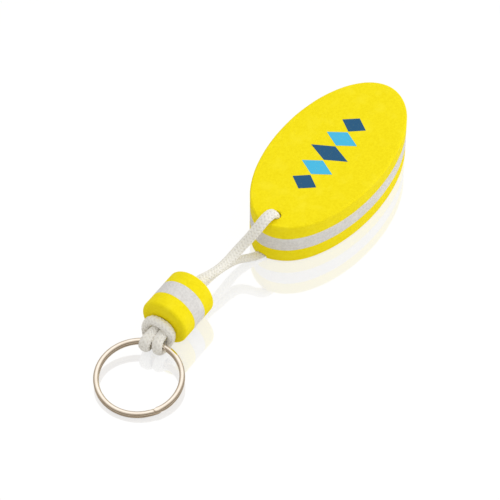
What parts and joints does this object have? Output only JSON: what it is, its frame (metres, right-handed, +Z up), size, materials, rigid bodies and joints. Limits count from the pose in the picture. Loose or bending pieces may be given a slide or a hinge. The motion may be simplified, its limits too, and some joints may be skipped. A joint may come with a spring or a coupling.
{
  "type": "floating keychain",
  "caption": "Oval layered foam float, round foam bead and steel split ring on one loop of braided cord; keeps keys afloat.",
  "frame": {"origin": "on the surface that the keychain lies on, under the middle of its length and on the float's centre line", "axes": "+X along the length from the split ring to the float's far tip, +Y across it, +Z up"},
  "size_m": [0.134, 0.0338, 0.0172],
  "materials": {
    "yellow_foam": "matte closed-cell foam with fine pores",
    "white_foam": "matte closed-cell foam with fine pores",
    "cord": "soft white braid",
    "steel": "bright nickel plate"
  },
  "bodies": {
    "float_and_cord": {"float_top_layer": "yellow_foam", "float_middle_layer": "white_foam", "float_bottom_layer": "yellow_foam", "cord": "cord"},
    "bead": {"bead_front_layer": "yellow_foam", "bead_middle_layer": "white_foam", "bead_rear_layer": "yellow_foam"},
    "split_ring": {"split_ring": "steel"}
  },
  "joints": [
    {"name": "ring_swing", "type": "hinge", "parent": "float_and_cord", "child": "split_ring", "pos_m": [-0.0432, 0.0072, 0.0038], "axis": [-0.2504, 0.9681, 0], "range_deg": [-80, 90]},
    {"name": "bead_slide", "type": "slide", "parent": "float_and_cord", "child": "bead", "axis": [1, 0, 0], "range_m": [0, 0.01]}
  ]
}
